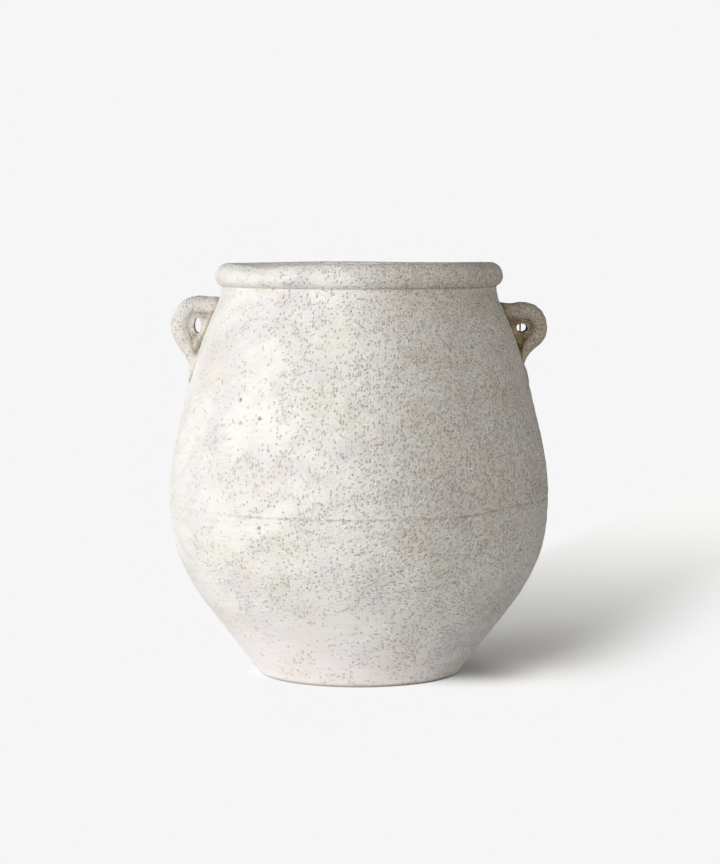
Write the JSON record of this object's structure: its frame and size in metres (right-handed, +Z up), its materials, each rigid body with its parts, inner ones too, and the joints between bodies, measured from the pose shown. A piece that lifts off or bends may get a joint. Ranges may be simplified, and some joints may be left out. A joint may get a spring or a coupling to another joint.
{
  "type": "storage jar",
  "caption": "Hand-thrown round-bellied clay storage jar with a thick rolled rim, a narrow foot and small ear handles at the shoulder, open at the top.",
  "frame": {"origin": "centre of the flat underside that the jar stands on, on the axis that it was thrown about", "axes": "+Z up along that axis and out of the mouth, +X to the right handle and -X to the left one, -Y to the viewer of the picture"},
  "size_m": [0.322, 0.322, 0.35],
  "materials": {
    "slipped_clay": "matt chalky white slip over gritty buff clay",
    "bare_clay": "matt unglazed buff clay"
  },
  "bodies": {
    "root": {"base_disc": "slipped_clay", "floor_coil": "bare_clay", "lower_wall": "slipped_clay", "seam_coil": "bare_clay", "upper_wall": "slipped_clay", "rolled_rim": "slipped_clay", "left_handle": "slipped_clay", "right_handle": "slipped_clay"}
  },
  "joints": []
}
